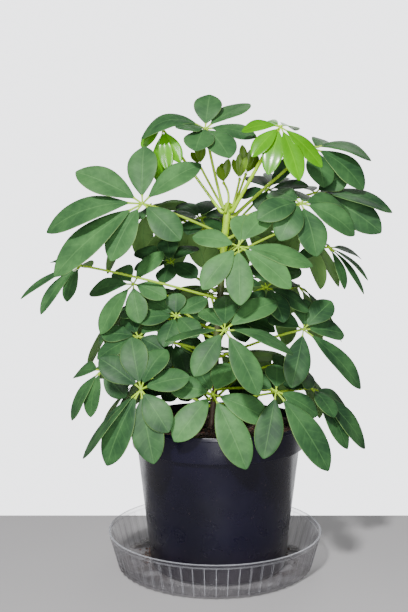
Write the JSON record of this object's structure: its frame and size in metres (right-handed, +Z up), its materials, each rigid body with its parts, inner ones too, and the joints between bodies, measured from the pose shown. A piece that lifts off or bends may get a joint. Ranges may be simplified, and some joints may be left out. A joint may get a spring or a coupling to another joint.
{
  "type": "potted umbrella plant",
  "caption": "Bushy umbrella plant with palm-shaped compound leaves, in a dark tapered nursery pot that stands in a clear fluted saucer.",
  "frame": {"origin": "centre of the underside of the saucer, on the surface it stands on", "axes": "+Z up through the pot, +X to the right and -Y towards the viewer of the front"},
  "size_m": [0.402, 0.2663, 0.515],
  "materials": {
    "clear_plastic": "clear glossy moulded plastic",
    "dark_plastic": "dark navy moulded plastic with a soft sheen",
    "soil": "rough crumbly potting mix",
    "stem": "green bark that turns brown near the soil",
    "leaf": "satin green with a pale midrib",
    "young_leaf": "glossy lime green"
  },
  "bodies": {
    "root": {"saucer": "clear_plastic", "pot": "dark_plastic", "soil": "soil", "main_stem": "stem", "leaf_centre_high": "leaf", "leaf_centre_low": "leaf", "leaf_left_high": "leaf", "leaf_top": "leaf", "leaf_lime_top": "young_leaf", "leaf_right_middle": "leaf", "leaf_front_left": "leaf", "leaf_front_low": "leaf", "leaf_front_right": "leaf", "leaf_right_low": "leaf", "leaf_left_middle": "leaf", "leaf_left_low": "leaf", "leaf_left_far": "leaf", "leaf_lime_small": "young_leaf", "leaf_right_top": "leaf", "leaf_right_high": "leaf", "leaf_right_far": "leaf", "leaf_middle_right": "leaf", "leaf_middle_left": "leaf", "leaf_inner_left": "leaf", "leaf_inner_top": "leaf", "leaf_inner_right": "leaf", "leaf_inner_middle": "leaf", "leaf_inner_low": "leaf", "leaf_inner_base": "leaf", "leaf_inner_side": "leaf", "leaf_low_right": "leaf", "leaf_low_left": "leaf", "young_leaf_right": "young_leaf", "young_leaf_left": "young_leaf", "young_leaf_far": "young_leaf", "young_leaf_behind": "young_leaf", "leaf_back_1": "leaf", "leaf_back_2": "leaf", "leaf_back_3": "leaf", "leaf_back_4": "leaf", "leaf_back_5": "leaf", "leaf_back_11": "leaf", "leaf_back_12": "leaf", "leaf_back_13": "leaf", "leaf_back_14": "leaf", "leaf_back_15": "leaf", "leaf_back_21": "leaf", "leaf_back_22": "leaf", "leaf_back_23": "leaf", "leaf_back_24": "leaf"}
  },
  "joints": []
}
